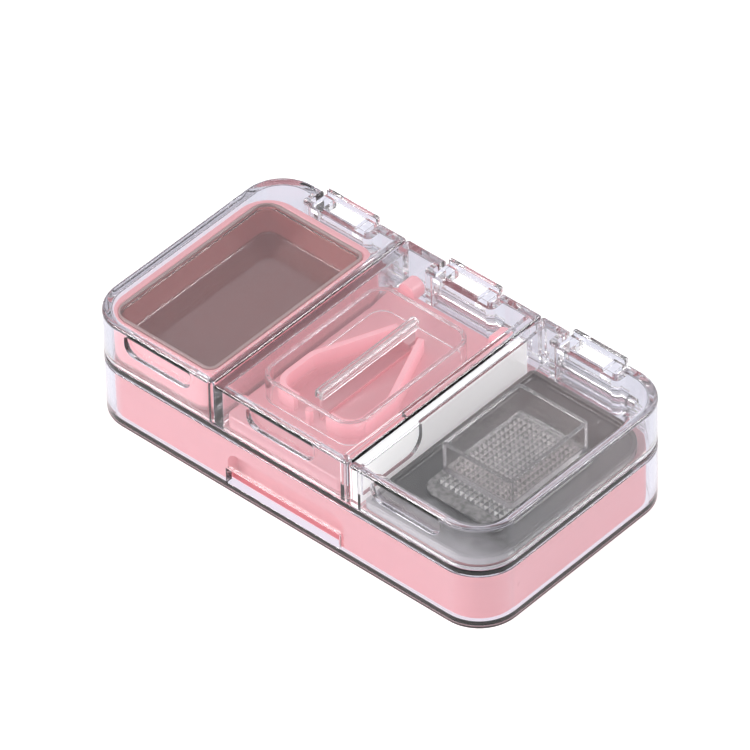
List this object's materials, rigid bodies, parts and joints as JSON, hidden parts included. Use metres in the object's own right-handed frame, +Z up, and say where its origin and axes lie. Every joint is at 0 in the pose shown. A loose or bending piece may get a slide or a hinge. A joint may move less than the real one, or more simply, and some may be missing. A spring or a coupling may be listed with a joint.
{
  "type": "pill splitter",
  "caption": "Clear hinged pocket box with a pill cup, a V-ribbed tablet cutter with a blade in its lid, a knurled grinder and a tray of cells below.",
  "frame": {"origin": "centre of the flat underside of the closed box", "axes": "+X along the length towards the grinder, +Y to the hinges at the rear, +Z up"},
  "size_m": [0.124, 0.069, 0.0318],
  "materials": {
    "clear_plastic": "polished clear polystyrene",
    "frame_plastic": "polished clear polystyrene, seen edge-on as a dark band",
    "pink_plastic": "smooth satin-gloss moulding",
    "silicone": "translucent soft gasket",
    "grey_plastic": "smooth dark grey moulding",
    "steel": "bright stainless steel",
    "white_plastic": "smooth white satin sheet"
  },
  "bodies": {
    "box": {"mid_frame": "frame_plastic", "lower_tray": "pink_plastic", "pill_cup": "pink_plastic", "cup_liner": "clear_plastic", "cup_seal": "silicone", "cutter_base": "pink_plastic", "partition": "white_plastic", "grinder_base": "grey_plastic", "grinder_pad": "frame_plastic", "left_lid_pin": "steel", "middle_lid_pin": "steel", "right_lid_pin": "steel", "left_cover_pin": "steel", "right_cover_pin": "steel"},
    "left_lid": {"left_lid": "clear_plastic"},
    "middle_lid": {"middle_lid": "clear_plastic", "blade_guard": "clear_plastic", "blade_holder": "clear_plastic", "cutter_blade": "steel"},
    "right_lid": {"right_lid": "clear_plastic", "press_block": "clear_plastic"},
    "bottom_cover": {"bottom_cover": "clear_plastic"}
  },
  "joints": [
    {"name": "left_lid_hinge", "type": "hinge", "parent": "box", "child": "left_lid", "pos_m": [-0.0384, 0.033, 0.0206], "axis": [-1, 0, 0], "range_deg": [0, 100]},
    {"name": "middle_lid_hinge", "type": "hinge", "parent": "box", "child": "middle_lid", "pos_m": [0, 0.033, 0.0206], "axis": [-1, 0, 0], "range_deg": [0, 100]},
    {"name": "right_lid_hinge", "type": "hinge", "parent": "box", "child": "right_lid", "pos_m": [0.0384, 0.033, 0.0206], "axis": [-1, 0, 0], "range_deg": [0, 100]},
    {"name": "bottom_cover_hinge", "type": "hinge", "parent": "box", "child": "bottom_cover", "pos_m": [0, 0.033, 0.0144], "axis": [1, 0, 0], "range_deg": [0, 90]}
  ]
}
